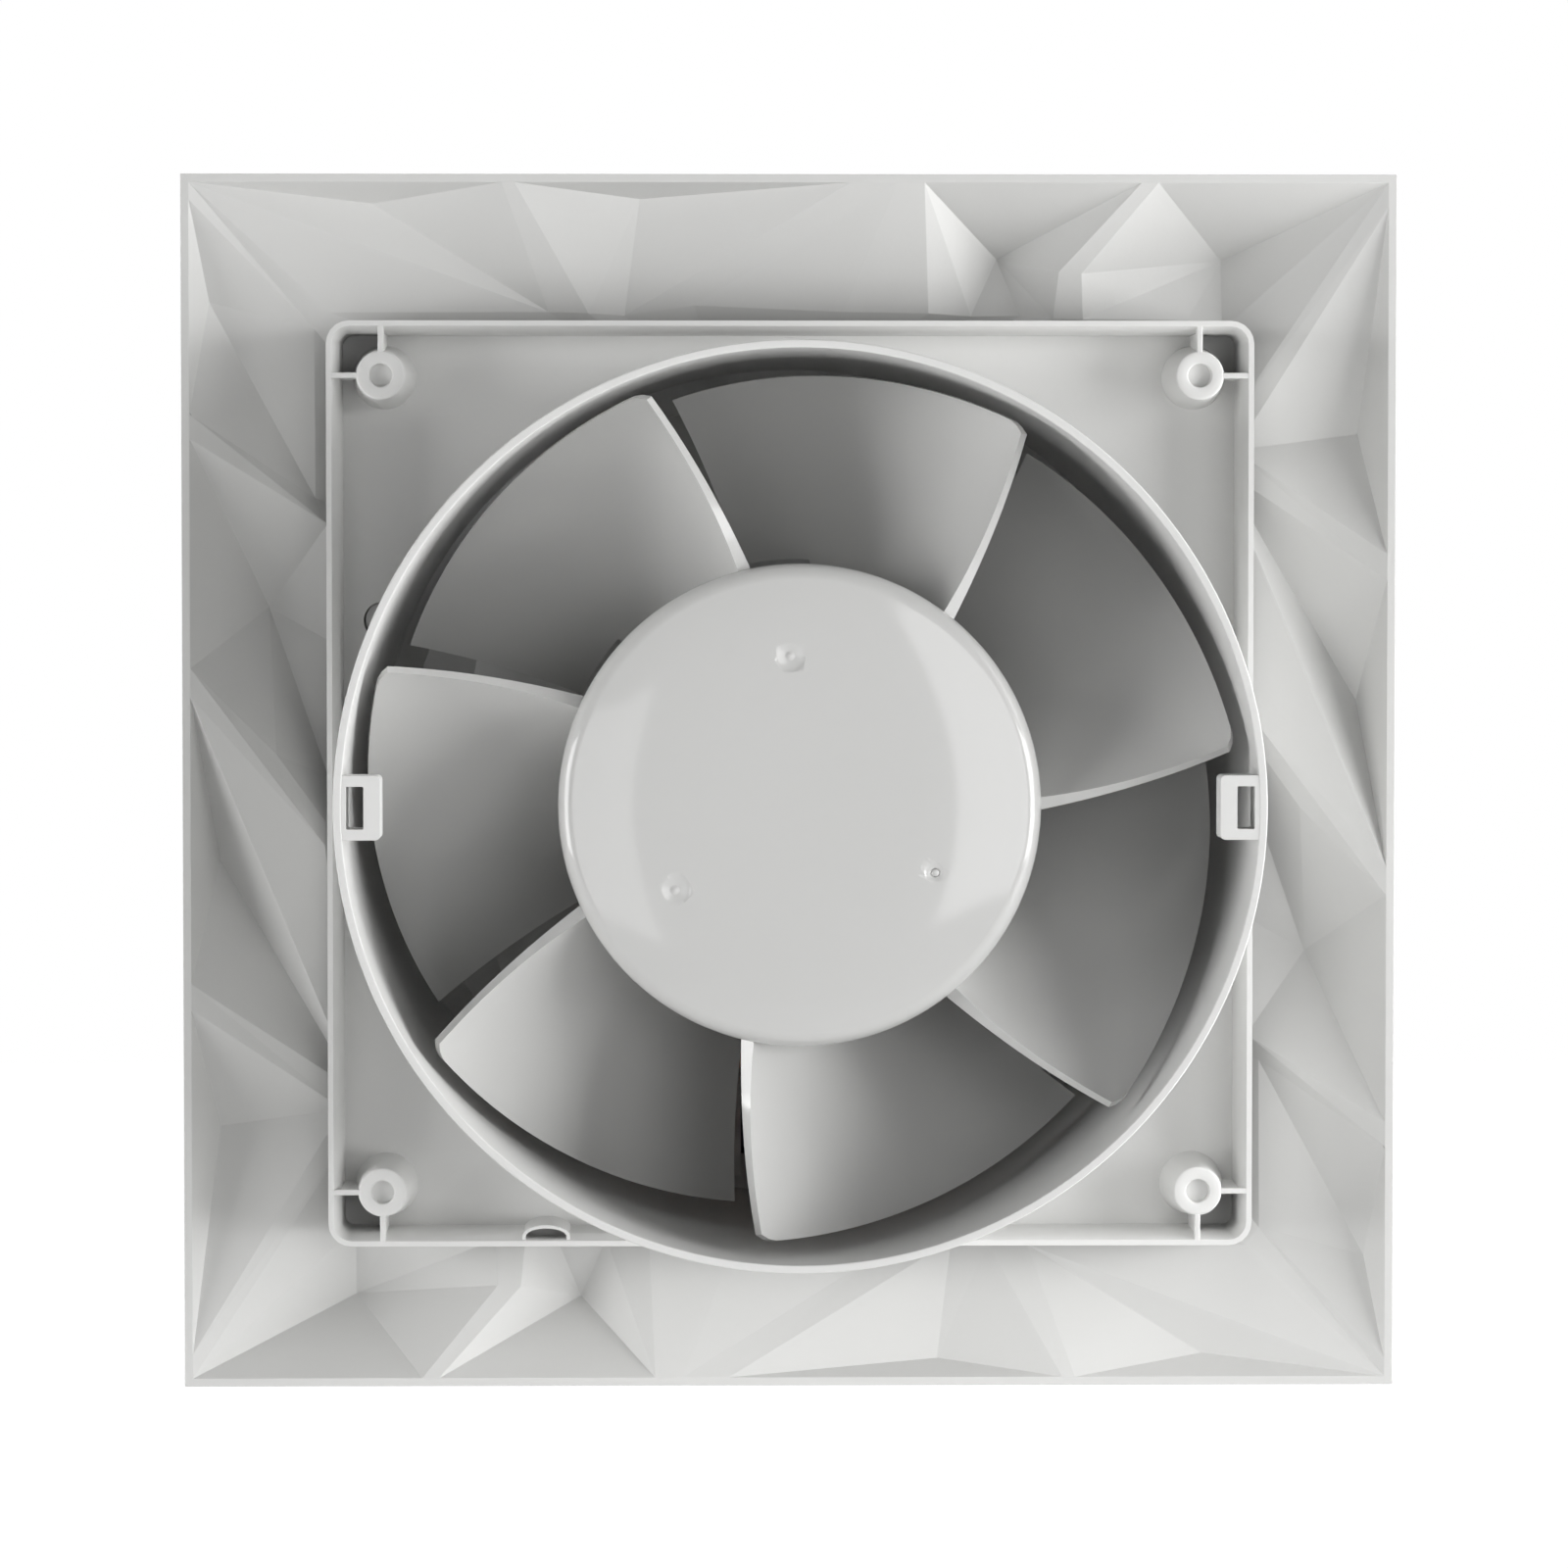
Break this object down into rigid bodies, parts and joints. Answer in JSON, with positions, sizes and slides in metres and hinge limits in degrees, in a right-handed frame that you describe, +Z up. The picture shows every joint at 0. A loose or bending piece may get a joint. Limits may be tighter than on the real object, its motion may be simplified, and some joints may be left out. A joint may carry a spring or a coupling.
{
  "type": "extractor fan",
  "caption": "Wall extractor fan for a round duct: square back tray with a long spigot, bladed impeller on a small motor, and a faceted square front cover.",
  "frame": {"origin": "middle of the bounding box, on the duct axis, 22 mm on the duct side of the wall plane (the wall plane is y = -22 mm)", "axes": "+Y along the duct axis away from the room, +Z up as hung on the wall, +X to the right seen from the room"},
  "size_m": [0.18, 0.116, 0.18],
  "materials": {
    "housing_plastic": "white ABS, satin",
    "cover_plastic": "white ABS, satin",
    "impeller_plastic": "white ABS, glossy",
    "ground_steel": "ground steel",
    "zinc_steel": "zinc plated",
    "terminal_metal": "nickel plated",
    "laminated_steel": "stacked electrical steel",
    "copper": "enamelled copper",
    "cast_alloy": "die cast",
    "bronze": "sintered bronze",
    "damper_rubber": "black rubber",
    "nylon": "natural nylon",
    "live_insulation": "brown sleeving",
    "neutral_insulation": "blue sleeving"
  },
  "bodies": {
    "housing": {"base_housing": "housing_plastic", "stator_stack": "laminated_steel", "coil_core": "laminated_steel", "coil_bobbin": "nylon", "coil_winding": "copper", "shading_ring_a": "copper", "shading_ring_b": "copper", "bearing_bridge_front": "cast_alloy", "bearing_bridge_rear": "cast_alloy", "bush_front": "bronze", "bush_rear": "bronze", "motor_screw_left": "zinc_steel", "motor_screw_right": "zinc_steel", "motor_nut_left": "zinc_steel", "motor_nut_right": "zinc_steel", "damper_left": "damper_rubber", "damper_right": "damper_rubber", "terminal_block": "nylon", "terminal_screw_live": "terminal_metal", "terminal_screw_neutral": "terminal_metal", "lead_live": "live_insulation", "lead_neutral": "neutral_insulation"},
    "cover": {"front_cover": "cover_plastic"},
    "rotor": {"impeller": "impeller_plastic", "impeller_insert": "ground_steel", "shaft": "ground_steel", "rotor_core": "laminated_steel", "washer_front": "nylon", "washer_rear": "nylon"}
  },
  "joints": [
    {"name": "impeller_spin", "type": "hinge", "parent": "housing", "child": "rotor", "pos_m": [0, 0.04, 0], "axis": [0, 1, 0], "continuous": true},
    {"name": "cover_lift", "type": "slide", "parent": "housing", "child": "cover", "axis": [0, -1, 0], "range_m": [0, 0.06]}
  ]
}
